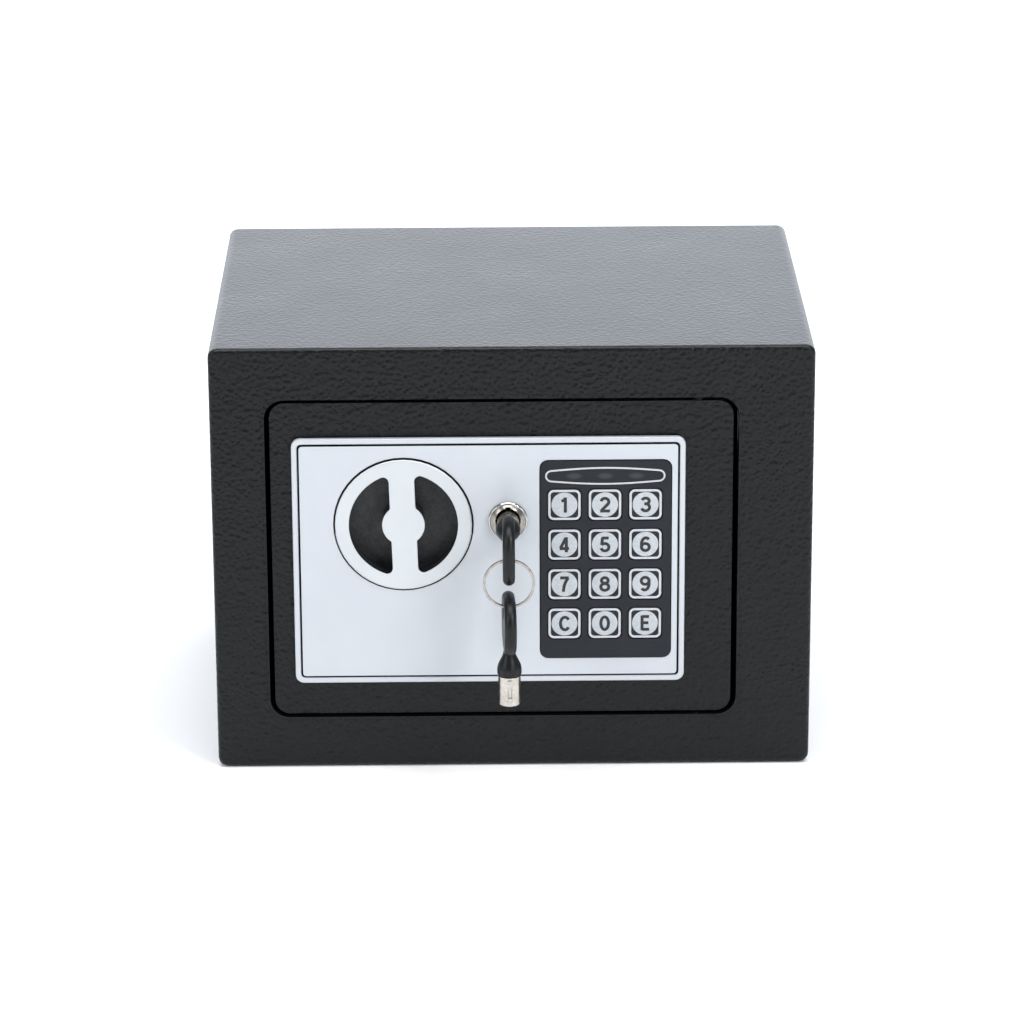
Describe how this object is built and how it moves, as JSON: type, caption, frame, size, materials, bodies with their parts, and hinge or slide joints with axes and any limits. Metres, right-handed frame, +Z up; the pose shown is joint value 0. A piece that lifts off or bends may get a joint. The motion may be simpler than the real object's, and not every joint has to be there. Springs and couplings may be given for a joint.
{
  "type": "electronic safe",
  "caption": "Compact steel cabinet safe with a recessed hinged door, silver fascia, turning bolt knob, numeric keypad and override lock with tubular keys.",
  "frame": {"origin": "middle of the cabinet's underside", "axes": "+Z up, -Y out through the front, +X to the right seen from the front"},
  "size_m": [0.23, 0.2155, 0.17],
  "materials": {
    "powder_coated_steel": "black powder coat with a fine orange-peel texture",
    "silver_plastic": "satin silver-grey moulding",
    "black_plastic": "matt black moulding",
    "keypad_plastic": "dark blue-grey, satin, with printed white outlines, silver discs and black figures",
    "polished_chrome": "polished chrome plate",
    "zinc_plated_steel": "bright zinc plate",
    "brass": "turned brass",
    "circuit_board": "green solder mask",
    "felt": "dark grey felt",
    "copper_winding": "enamelled copper wire; brass stands in for copper's weight",
    "battery_sleeve": "printed-sleeve look without any print",
    "lamp_lens": "smoked lens, unlit",
    "red_plastic": "red push button"
  },
  "bodies": {
    "cabinet": {"cabinet_shell": "powder_coated_steel", "rear_panel": "powder_coated_steel", "floor_mat": "felt", "upper_hinge_bracket": "zinc_plated_steel", "lower_hinge_bracket": "zinc_plated_steel", "upper_pivot_pin": "zinc_plated_steel", "lower_pivot_pin": "zinc_plated_steel"},
    "door": {"door_plate": "powder_coated_steel", "mechanism_tray": "powder_coated_steel", "inner_cover": "powder_coated_steel", "cover_screw_1": "zinc_plated_steel", "cover_screw_2": "zinc_plated_steel", "cover_screw_3": "zinc_plated_steel", "cover_screw_4": "zinc_plated_steel", "fascia_frame": "silver_plastic", "fascia_plate": "silver_plastic", "knob_well": "black_plastic", "keypad_frame": "keypad_plastic", "keypad_board": "circuit_board", "lamp_left": "lamp_lens", "lamp_middle": "lamp_lens", "lamp_right": "lamp_lens", "lock_housing": "polished_chrome", "lock_nut": "zinc_plated_steel", "solenoid_frame": "zinc_plated_steel", "solenoid_coil": "copper_winding", "battery_box": "black_plastic", "battery_1": "battery_sleeve", "battery_2": "battery_sleeve", "battery_3": "battery_sleeve", "battery_4": "battery_sleeve", "control_board": "circuit_board"},
    "knob": {"knob_cap": "silver_plastic", "knob_core": "black_plastic", "knob_shaft": "zinc_plated_steel"},
    "bolts": {"bolt_carriage": "zinc_plated_steel", "upper_bolt": "zinc_plated_steel", "lower_bolt": "zinc_plated_steel"},
    "plunger": {"solenoid_plunger": "zinc_plated_steel"},
    "plug": {"lock_plug": "brass", "lock_cam": "zinc_plated_steel"},
    "key": {"inserted_key_barrel": "polished_chrome", "inserted_key_head": "black_plastic"},
    "ring": {"key_ring": "zinc_plated_steel"},
    "spare": {"spare_key_barrel": "polished_chrome", "spare_key_head": "black_plastic"},
    "battery_lid": {"battery_cover": "black_plastic"},
    "reset": {"reset_button": "red_plastic"},
    "key_1": {"button_1": "keypad_plastic"},
    "key_2": {"button_2": "keypad_plastic"},
    "key_3": {"button_3": "keypad_plastic"},
    "key_4": {"button_4": "keypad_plastic"},
    "key_5": {"button_5": "keypad_plastic"},
    "key_6": {"button_6": "keypad_plastic"},
    "key_7": {"button_7": "keypad_plastic"},
    "key_8": {"button_8": "keypad_plastic"},
    "key_9": {"button_9": "keypad_plastic"},
    "key_clear": {"button_clear": "keypad_plastic"},
    "key_0": {"button_0": "keypad_plastic"},
    "key_enter": {"button_enter": "keypad_plastic"}
  },
  "joints": [
    {"name": "door_swing", "type": "hinge", "parent": "cabinet", "child": "door", "pos_m": [0.0712, -0.0775, 0.085], "axis": [0, 0, 1], "range_deg": [0, 100]},
    {"name": "knob_turn", "type": "hinge", "parent": "door", "child": "knob", "pos_m": [-0.0417, -0.084, 0.1], "axis": [0, -1, 0], "range_deg": [-0.3, 90.3]},
    {"name": "bolts_slide", "type": "slide", "parent": "door", "child": "bolts", "axis": [-1, 0, 0], "range_m": [0, 0.014]},
    {"name": "catch_rise", "type": "slide", "parent": "door", "child": "plunger", "axis": [0, 0, 1], "range_m": [0, 0.0045]},
    {"name": "lock_turn", "type": "hinge", "parent": "door", "child": "plug", "pos_m": [-0.00175, -0.08, 0.1012], "axis": [0, 1, 0], "range_deg": [0, 90]},
    {"name": "key_pull", "type": "slide", "parent": "plug", "child": "key", "axis": [0, -1, 0], "range_m": [0, 0.02]},
    {"name": "ring_level", "type": "hinge", "parent": "key", "child": "ring", "pos_m": [-0.00175, -0.11725, 0.09013], "axis": [0, 1, 0], "range_deg": [-92, 2]},
    {"name": "spare_key_swing", "type": "hinge", "parent": "ring", "child": "spare", "pos_m": [-0.00175, -0.11725, 0.07758], "axis": [1, 0, 0], "range_deg": [-18, 18]},
    {"name": "battery_lid_off", "type": "slide", "parent": "door", "child": "battery_lid", "axis": [0, 1, 0], "range_m": [0, 0.03]},
    {"name": "reset_press", "type": "slide", "parent": "door", "child": "reset", "axis": [0, -1, 0], "range_m": [0, 0.0012], "stiffness_N_per_m": 200},
    {"name": "button_1_press", "type": "slide", "parent": "door", "child": "key_1", "axis": [0, 1, 0], "range_m": [0, 0.0006], "stiffness_N_per_m": 200},
    {"name": "button_2_press", "type": "slide", "parent": "door", "child": "key_2", "axis": [0, 1, 0], "range_m": [0, 0.0006], "stiffness_N_per_m": 200},
    {"name": "button_3_press", "type": "slide", "parent": "door", "child": "key_3", "axis": [0, 1, 0], "range_m": [0, 0.0006], "stiffness_N_per_m": 200},
    {"name": "button_4_press", "type": "slide", "parent": "door", "child": "key_4", "axis": [0, 1, 0], "range_m": [0, 0.0006], "stiffness_N_per_m": 200},
    {"name": "button_5_press", "type": "slide", "parent": "door", "child": "key_5", "axis": [0, 1, 0], "range_m": [0, 0.0006], "stiffness_N_per_m": 200},
    {"name": "button_6_press", "type": "slide", "parent": "door", "child": "key_6", "axis": [0, 1, 0], "range_m": [0, 0.0006], "stiffness_N_per_m": 200},
    {"name": "button_7_press", "type": "slide", "parent": "door", "child": "key_7", "axis": [0, 1, 0], "range_m": [0, 0.0006], "stiffness_N_per_m": 200},
    {"name": "button_8_press", "type": "slide", "parent": "door", "child": "key_8", "axis": [0, 1, 0], "range_m": [0, 0.0006], "stiffness_N_per_m": 200},
    {"name": "button_9_press", "type": "slide", "parent": "door", "child": "key_9", "axis": [0, 1, 0], "range_m": [0, 0.0006], "stiffness_N_per_m": 200},
    {"name": "button_clear_press", "type": "slide", "parent": "door", "child": "key_clear", "axis": [0, 1, 0], "range_m": [0, 0.0006], "stiffness_N_per_m": 200},
    {"name": "button_0_press", "type": "slide", "parent": "door", "child": "key_0", "axis": [0, 1, 0], "range_m": [0, 0.0006], "stiffness_N_per_m": 200},
    {"name": "button_enter_press", "type": "slide", "parent": "door", "child": "key_enter", "axis": [0, 1, 0], "range_m": [0, 0.0006], "stiffness_N_per_m": 200}
  ],
  "couplings": [
    {"joint": "knob_turn", "follows": "bolts_slide", "rad_per_m": 112.19},
    {"joint": "ring_level", "follows": "lock_turn", "ratio": -1}
  ]
}
